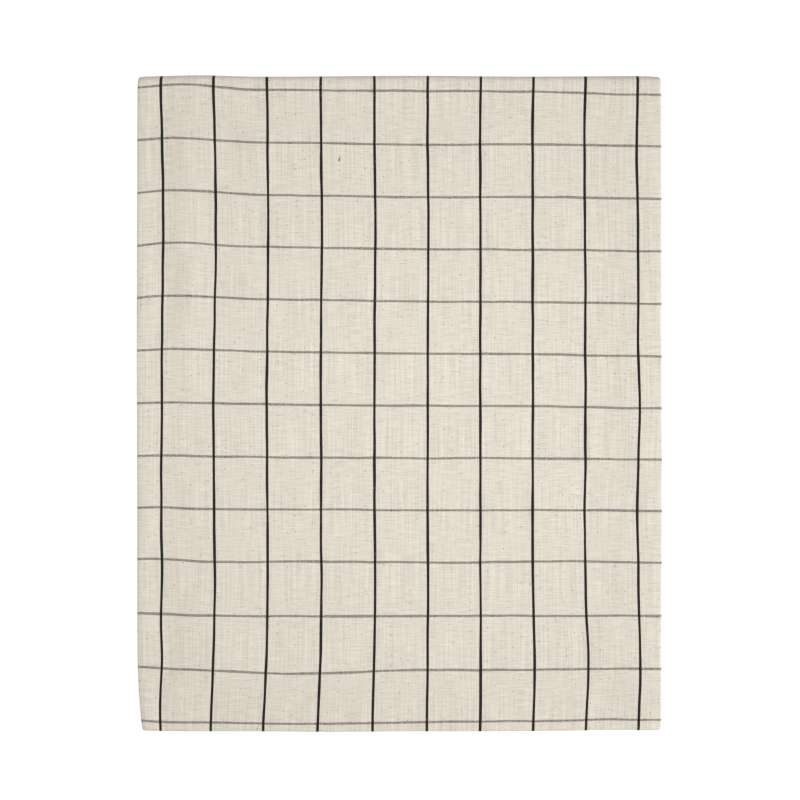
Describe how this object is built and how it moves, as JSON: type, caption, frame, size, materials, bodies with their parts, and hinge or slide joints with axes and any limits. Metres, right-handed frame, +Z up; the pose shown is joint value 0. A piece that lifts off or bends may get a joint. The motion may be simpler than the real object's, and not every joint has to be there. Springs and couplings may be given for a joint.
{
  "type": "folded tablecloth",
  "caption": "Natural linen tablecloth with a dark windowpane check, letter-folded both ways into a flat rectangle that lies face up.",
  "frame": {"origin": "on the surface that the cloth lies on, below the middle of the folded rectangle", "axes": "+Z up, out of the face; +Y along the longer side, towards the folded edge where all the layers turn; +X along the shorter side"},
  "size_m": [0.4676, 0.5852, 0.0168],
  "materials": {
    "linen": "dry plain-weave linen in a natural pale grey-beige with slubs, woven with a thin near-black windowpane check"
  },
  "bodies": {
    "root": {"tablecloth": "linen"}
  },
  "joints": []
}
